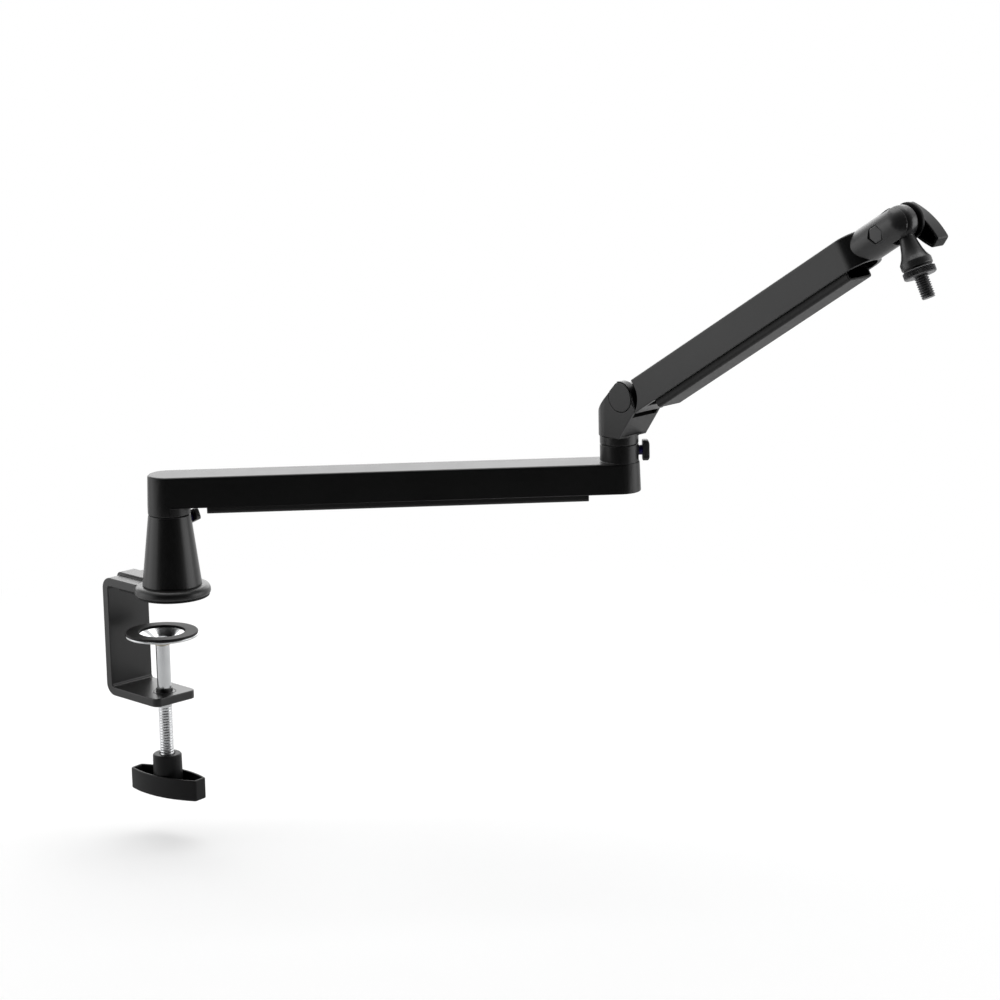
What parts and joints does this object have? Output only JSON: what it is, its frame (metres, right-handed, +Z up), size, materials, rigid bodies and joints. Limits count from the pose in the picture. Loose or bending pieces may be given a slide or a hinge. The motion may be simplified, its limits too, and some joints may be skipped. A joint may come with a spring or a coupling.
{
  "type": "microphone boom arm",
  "caption": "Low desk-clamped boom arm for a broadcast microphone, with swivelling lower arm, pitching upper arm, cable covers and a tilting threaded stud.",
  "frame": {"origin": "on the base swivel axis, in the plane of the desk top, which the rubber under the top jaw rests on", "axes": "+Z up along the base swivel axis, +X along the lower arm from base to elbow"},
  "size_m": [0.5705, 0.2638, 0.4414],
  "materials": {
    "satin_black": "satin powder coat",
    "charcoal": "satin powder coat",
    "riser_grey": "satin powder coat",
    "rubber_black": "matt",
    "nylon_black": "moulded",
    "handle_plastic": "fine grain",
    "cover_plastic": "fine grain",
    "knob_plastic": "satin",
    "acetal": "moulded",
    "zinc": "bright zinc",
    "steel": "turned",
    "black_steel": "black oxide"
  },
  "bodies": {
    "clamp": {"clamp_bracket": "charcoal", "top_jaw_pad": "rubber_black", "screw_bush": "nylon_black", "riser_cone": "riser_grey", "riser_bolts": "steel", "base_bush": "acetal", "base_lock_collar": "nylon_black"},
    "pressure_pad": {"pressure_disc": "zinc", "disc_pad": "rubber_black", "thrust_washer": "acetal"},
    "clamp_screw": {"clamp_screw": "zinc", "screw_end_cap": "black_steel", "clamp_handle": "handle_plastic"},
    "base_plug": {"base_brake_plug": "acetal"},
    "base_knob": {"base_lock_knob": "knob_plastic"},
    "lower_arm": {"lower_arm": "satin_black", "base_spigot": "steel", "base_keeper_washer": "steel", "base_keeper_bolt": "steel", "elbow_bush": "acetal", "elbow_lock_collar": "nylon_black"},
    "lower_cover": {"lower_cable_cover": "cover_plastic"},
    "elbow_plug": {"elbow_brake_plug": "acetal"},
    "elbow_knob": {"elbow_lock_knob": "knob_plastic"},
    "elbow_bracket": {"elbow_bracket": "charcoal", "elbow_spigot": "steel", "elbow_keeper_washer": "steel", "elbow_keeper_bolt": "steel", "hinge_bolt": "steel", "hinge_nut": "steel", "ear_caps": "charcoal"},
    "upper_arm": {"upper_arm": "charcoal", "hinge_bush": "acetal", "friction_washers": "acetal", "head_spigot": "steel", "head_barrel": "charcoal", "barrel_hex_screw": "black_steel", "tilt_bolt": "steel"},
    "upper_cover": {"upper_cable_cover": "cover_plastic"},
    "neck": {"mic_neck": "charcoal", "mic_stud": "black_steel"},
    "side_disc": {"side_disc": "rubber_black"},
    "tilt_lever": {"tilt_lever": "handle_plastic"},
    "ring_washer": {"ring_washer": "nylon_black"},
    "lock_ring": {"lock_ring": "black_steel"}
  },
  "joints": [
    {"name": "pad_lift", "type": "slide", "parent": "clamp", "child": "pressure_pad", "axis": [0, 0, 1], "range_m": [-0.03, 0.02833]},
    {"name": "screw_turn", "type": "hinge", "parent": "pressure_pad", "child": "clamp_screw", "pos_m": [-0.00932, 0.01072, -0.06], "axis": [0, 0, 1], "range_deg": [-5401, 5101]},
    {"name": "base_swivel", "type": "hinge", "parent": "clamp", "child": "lower_arm", "pos_m": [0, 0, 0.0594], "axis": [0, 0, 1], "continuous": true},
    {"name": "base_plug_push", "type": "slide", "parent": "clamp", "child": "base_plug", "axis": [0.7431, 0.6691, 0], "range_m": [-0.00025, 0.001]},
    {"name": "base_knob_turn", "type": "hinge", "parent": "base_plug", "child": "base_knob", "pos_m": [0, 0, 0.054], "axis": [0.7431, 0.6691, 0], "range_deg": [-91, 361]},
    {"name": "lower_cover_pull", "type": "slide", "parent": "lower_arm", "child": "lower_cover", "axis": [0, 0, -1], "range_m": [0, 0.02]},
    {"name": "elbow_plug_push", "type": "slide", "parent": "lower_arm", "child": "elbow_plug", "axis": [1, 0, 0], "range_m": [-0.00025, 0.001]},
    {"name": "elbow_knob_turn", "type": "hinge", "parent": "elbow_plug", "child": "elbow_knob", "pos_m": [0.32, 0, 0.0949], "axis": [1, 0, 0], "range_deg": [-91, 361]},
    {"name": "elbow_swivel", "type": "hinge", "parent": "lower_arm", "child": "elbow_bracket", "pos_m": [0.32, 0, 0.1003], "axis": [0, 0, 1], "continuous": true},
    {"name": "arm_pitch", "type": "hinge", "parent": "elbow_bracket", "child": "upper_arm", "pos_m": [0.32964, -0.0107, 0.1371], "axis": [-0.7431, -0.6691, 0], "range_deg": [-10, 55]},
    {"name": "upper_cover_pull", "type": "slide", "parent": "upper_arm", "child": "upper_cover", "axis": [0.3546, -0.3938, -0.848], "range_m": [0, 0.02]},
    {"name": "neck_tilt", "type": "hinge", "parent": "upper_arm", "child": "neck", "pos_m": [0.4872, -0.1857, 0.27882], "axis": [-0.7431, -0.6691, 0], "range_deg": [-3, 172]},
    {"name": "side_disc_push", "type": "slide", "parent": "upper_arm", "child": "side_disc", "axis": [0.7431, 0.6691, 0], "range_m": [0, 0.001]},
    {"name": "lever_turn", "type": "hinge", "parent": "side_disc", "child": "tilt_lever", "pos_m": [0.4872, -0.1857, 0.27882], "axis": [0.7431, 0.6691, 0], "range_deg": [0, 361]},
    {"name": "ring_washer_shift", "type": "slide", "parent": "neck", "child": "ring_washer", "axis": [0.2933, -0.3258, -0.8988], "range_m": [0, 0.0111]},
    {"name": "ring_turn", "type": "hinge", "parent": "ring_washer", "child": "lock_ring", "pos_m": [0.49741, -0.19703, 0.24754], "axis": [0.2933, -0.3258, -0.8988], "range_deg": [0, 2521]}
  ],
  "couplings": [
    {"joint": "screw_turn", "follows": "pad_lift", "rad_per_m": 3141.6},
    {"joint": "base_knob_turn", "follows": "base_plug_push", "rad_per_m": 6283.2},
    {"joint": "elbow_knob_turn", "follows": "elbow_plug_push", "rad_per_m": 6283.2},
    {"joint": "lever_turn", "follows": "side_disc_push", "rad_per_m": 6283.2},
    {"joint": "ring_turn", "follows": "ring_washer_shift", "rad_per_m": 3957.9}
  ]
}
